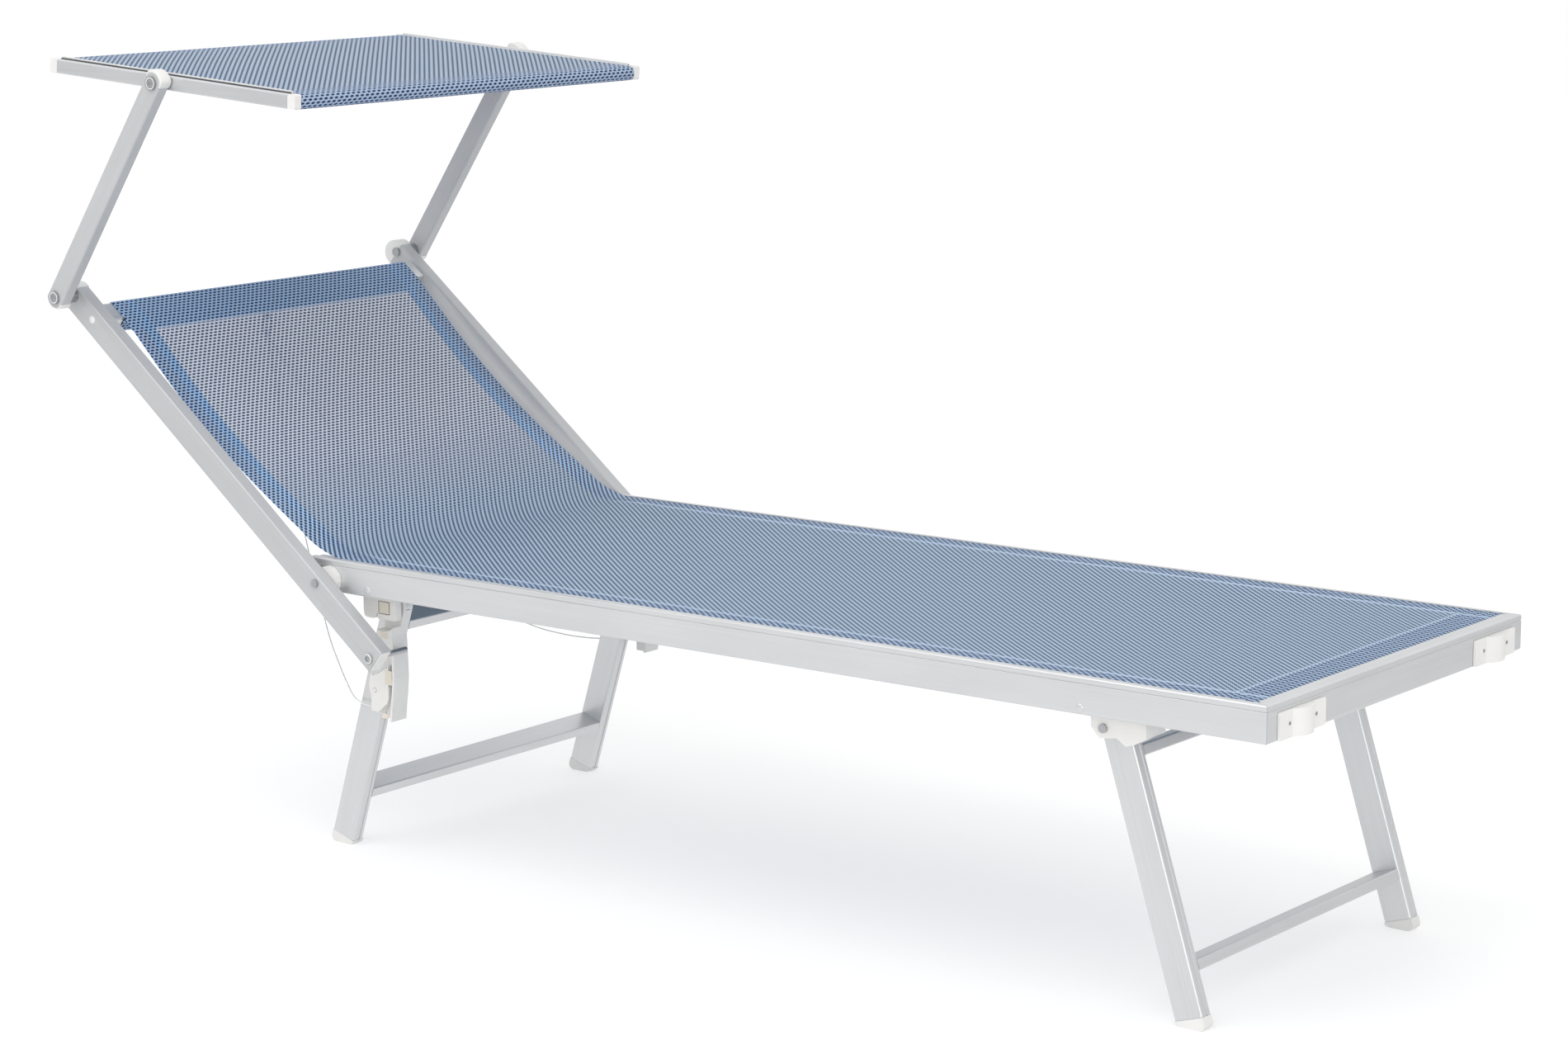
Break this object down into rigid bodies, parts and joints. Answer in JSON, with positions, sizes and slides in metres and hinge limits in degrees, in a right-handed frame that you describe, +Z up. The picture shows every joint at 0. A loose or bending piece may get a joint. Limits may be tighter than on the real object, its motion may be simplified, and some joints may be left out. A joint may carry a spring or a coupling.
{
  "type": "sun lounger",
  "caption": "Folding sun lounger with an aluminium frame, mesh sling, reclining backrest and a small tilting canopy on two arms.",
  "frame": {"origin": "on the floor under the middle of the lounger's box, measured without the free cord", "axes": "+X towards the foot end, +Z up, -Y on the right of a person who lies on it"},
  "size_m": [1.974, 0.7566, 1.0826],
  "materials": {
    "frame_aluminium": "satin anodised",
    "fastener_steel": "satin",
    "white_plastic": "matt, slightly glossy",
    "sling_mesh": "coated mesh, blue and white",
    "cord": "twisted nylon"
  },
  "bodies": {
    "main_frame": {"side_rail_right": "frame_aluminium", "side_rail_left": "frame_aluminium", "foot_rail": "frame_aluminium", "head_crossbar": "frame_aluminium", "foot_bumper_right": "white_plastic", "foot_bumper_left": "white_plastic", "backrest_pivot_right": "fastener_steel", "backrest_pivot_left": "fastener_steel", "pivot_spacer_right": "white_plastic", "pivot_spacer_left": "white_plastic", "rear_bracket_right": "white_plastic", "rear_bracket_left": "white_plastic", "front_bracket_right": "white_plastic", "front_bracket_left": "white_plastic", "seat_sling": "sling_mesh", "sling_bend": "sling_mesh"},
    "backrest": {"backrest_tube_right": "frame_aluminium", "backrest_tube_left": "frame_aluminium", "latch_pin_right": "fastener_steel", "latch_pin_left": "fastener_steel", "arm_pivot_right": "fastener_steel", "arm_pivot_left": "fastener_steel", "backrest_crossbar": "frame_aluminium", "backrest_sling": "sling_mesh", "pull_ring": "white_plastic", "ring_clip": "white_plastic", "pull_cord": "cord"},
    "canopy_arms": {"arm_right": "frame_aluminium", "arm_left": "frame_aluminium", "canopy_pivot_right": "fastener_steel", "canopy_pivot_left": "fastener_steel"},
    "canopy": {"canopy_rail_right": "frame_aluminium", "canopy_rail_left": "frame_aluminium", "canopy_cap_front_right": "white_plastic", "canopy_cap_front_left": "white_plastic", "canopy_cap_rear_right": "white_plastic", "canopy_cap_rear_left": "white_plastic", "canopy_front_tube": "frame_aluminium", "canopy_rear_tube": "frame_aluminium", "canopy_fabric": "sling_mesh"},
    "rear_legs": {"rear_leg_right": "frame_aluminium", "rear_leg_left": "frame_aluminium", "rear_foot_right": "white_plastic", "rear_foot_left": "white_plastic", "rear_leg_pivot_right": "fastener_steel", "rear_leg_pivot_left": "fastener_steel", "rear_upper_crossbar": "frame_aluminium", "rear_lower_crossbar": "frame_aluminium", "rack_right": "white_plastic", "rack_left": "white_plastic"},
    "latch_right": {"latch_lever_right": "white_plastic"},
    "latch_left": {"latch_lever_left": "white_plastic"},
    "front_legs": {"front_leg_right": "frame_aluminium", "front_leg_left": "frame_aluminium", "front_foot_right": "white_plastic", "front_foot_left": "white_plastic", "front_leg_pivot_right": "fastener_steel", "front_leg_pivot_left": "fastener_steel", "front_upper_crossbar": "frame_aluminium", "front_lower_crossbar": "frame_aluminium"}
  },
  "joints": [
    {"name": "backrest_recline", "type": "hinge", "parent": "main_frame", "child": "backrest", "pos_m": [-0.49829, 0, 0.388], "axis": [0, 1, 0], "range_deg": [-34, 24], "deforming": ["sling_bend", "pull_cord"]},
    {"name": "canopy_arm_swing", "type": "hinge", "parent": "backrest", "child": "canopy_arms", "pos_m": [-0.96183, 0, 0.74898], "axis": [0, 1, 0], "range_deg": [-50, 45]},
    {"name": "canopy_tilt", "type": "hinge", "parent": "canopy_arms", "child": "canopy", "pos_m": [-0.74704, 0, 1.05687], "axis": [0, 1, 0], "range_deg": [-40, 40]},
    {"name": "rear_leg_fold", "type": "hinge", "parent": "main_frame", "child": "rear_legs", "pos_m": [-0.42899, 0, 0.353], "axis": [0, -1, 0], "range_deg": [0, 105]},
    {"name": "front_leg_fold", "type": "hinge", "parent": "main_frame", "child": "front_legs", "pos_m": [0.73871, 0, 0.353], "axis": [0, 1, 0], "range_deg": [0, 105]},
    {"name": "latch_right_release", "type": "hinge", "parent": "rear_legs", "child": "latch_right", "pos_m": [-0.44679, -0.2764, 0.236], "axis": [0, 1, 0], "range_deg": [0, 8], "stiffness_Nm_per_rad": 0.4, "springref_deg": -8.59},
    {"name": "latch_left_release", "type": "hinge", "parent": "rear_legs", "child": "latch_left", "pos_m": [-0.44679, 0.2764, 0.236], "axis": [0, 1, 0], "range_deg": [0, 8], "stiffness_Nm_per_rad": 0.4, "springref_deg": -8.59}
  ],
  "couplings": [
    {"joint": "latch_left_release", "follows": "latch_right_release", "ratio": 1}
  ]
}
